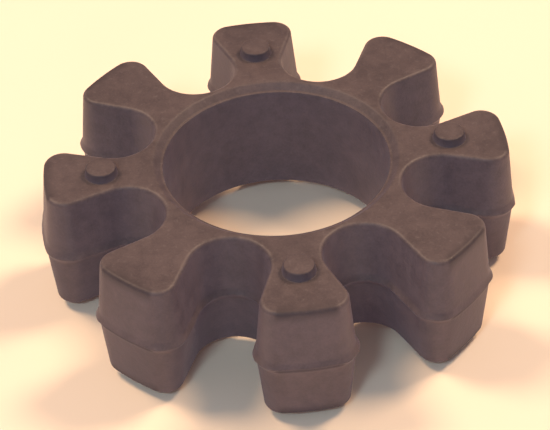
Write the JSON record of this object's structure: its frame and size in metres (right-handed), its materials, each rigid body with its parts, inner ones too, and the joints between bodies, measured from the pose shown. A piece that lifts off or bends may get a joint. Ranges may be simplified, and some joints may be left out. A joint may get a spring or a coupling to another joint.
{
  "type": "jaw coupling spider",
  "caption": "Rubber star that sits between the jaws of a coupling's two hubs, with flared legs around an open centre and low spacer pips on both faces.",
  "frame": {"origin": "centre of the bore, midway between the two flat faces, on the moulding's parting plane", "axes": "+Z along the shaft axis, towards the face whose pips are on the legs that point along X and Y; +X along the middle of a leg"},
  "size_m": [0.1058, 0.1058, 0.033],
  "materials": {
    "rubber": "matte moulded rubber, warm brown-black with a fine dusty mottle"
  },
  "bodies": {
    "root": {"spider": "rubber"}
  },
  "joints": []
}
